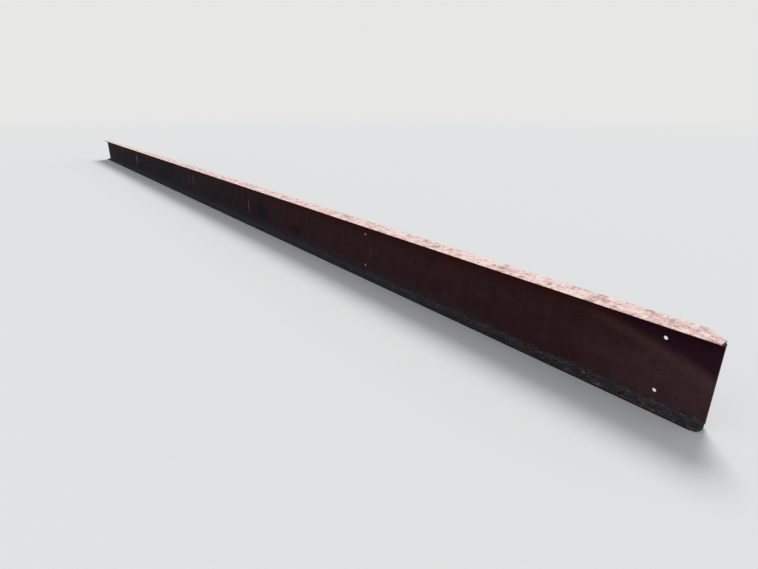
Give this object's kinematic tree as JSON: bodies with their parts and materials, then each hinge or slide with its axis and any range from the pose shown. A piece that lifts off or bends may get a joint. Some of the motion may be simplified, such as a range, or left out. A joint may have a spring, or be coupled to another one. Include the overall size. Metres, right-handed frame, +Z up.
{
  "type": "steel girder",
  "caption": "Long rolled steel I-section girder with tapered flanges and bolt holes through the web near one end, where the flanges are cut back at a slant.",
  "frame": {"origin": "middle of the underside of the lower flange, half way along", "axes": "+X along the girder towards the end with the bolt holes, +Y across the flanges towards the side that is cut back, +Z up the web"},
  "size_m": [15.24, 0.159, 0.508],
  "materials": {
    "primed_steel": "worn matt red-oxide primer with rust"
  },
  "bodies": {
    "root": {"girder": "primed_steel"}
  },
  "joints": []
}
